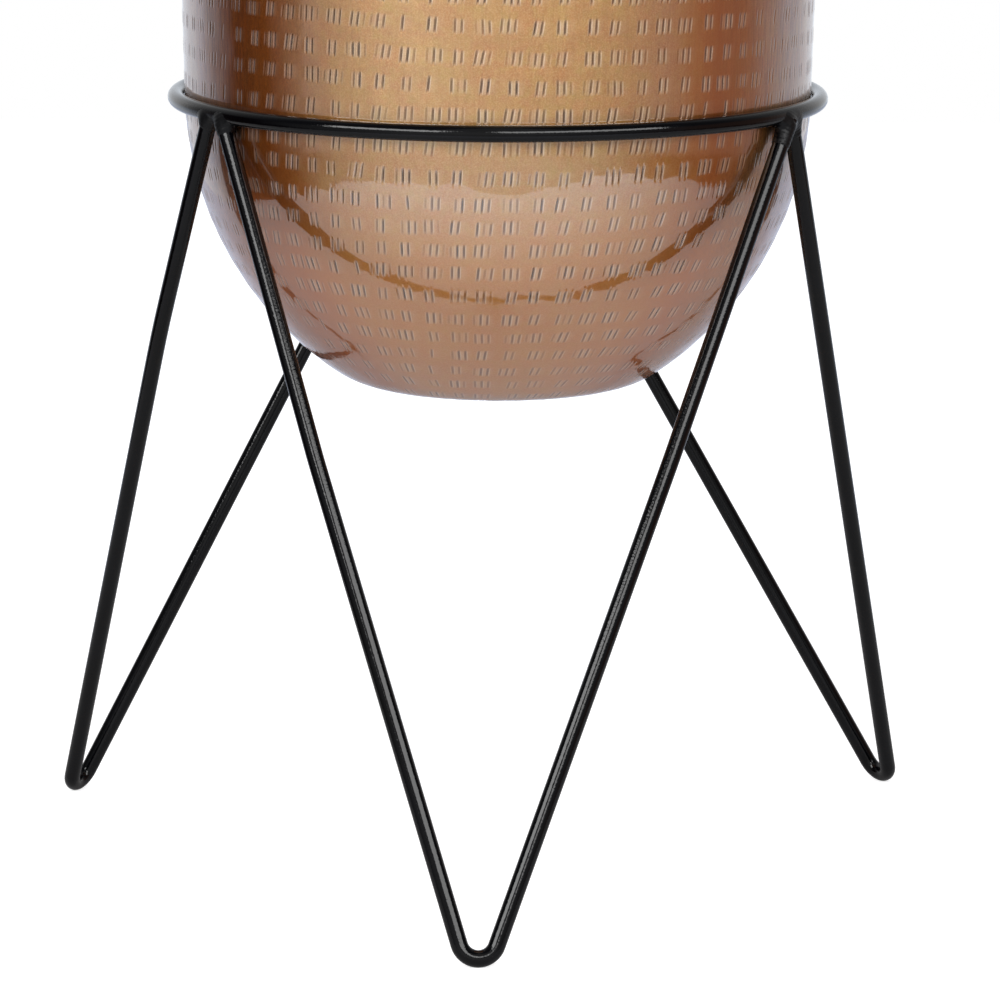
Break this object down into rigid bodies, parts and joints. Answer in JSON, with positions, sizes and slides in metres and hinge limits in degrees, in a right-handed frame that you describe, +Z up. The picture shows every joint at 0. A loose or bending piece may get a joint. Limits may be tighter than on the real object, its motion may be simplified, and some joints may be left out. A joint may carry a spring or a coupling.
{
  "type": "planter with stand",
  "caption": "Round-bottomed hammered metal pot with a straight wall, resting in the ring of a black rod stand on splayed V-shaped hairpin legs.",
  "frame": {"origin": "on the ring's upright axis, level with the floor that the feet stand on", "axes": "+Z up along the axis of ring and pot; -Y towards the front leg; +X to the right as seen from the front"},
  "size_m": [0.4279, 0.401, 0.51],
  "materials": {
    "stand_paint": "black powder coat, satin with a soft gloss",
    "pot_sheet": "chiselled with short upright dashes, antique brass, clear glossy lacquer",
    "hoop_wire": "plain drawn steel wire, enclosed by the rim"
  },
  "bodies": {
    "stand": {"stand_ring": "stand_paint", "ring_butt_weld": "stand_paint", "front_leg": "stand_paint", "left_leg": "stand_paint", "right_leg": "stand_paint", "front_left_weld": "stand_paint", "front_right_weld": "stand_paint", "back_weld": "stand_paint"},
    "pot": {"pot_shell": "pot_sheet", "rim_wire": "hoop_wire"}
  },
  "joints": [
    {"name": "pot_lift", "type": "slide", "parent": "stand", "child": "pot", "axis": [0, 0, 1], "range_m": [0, 0.16]}
  ]
}
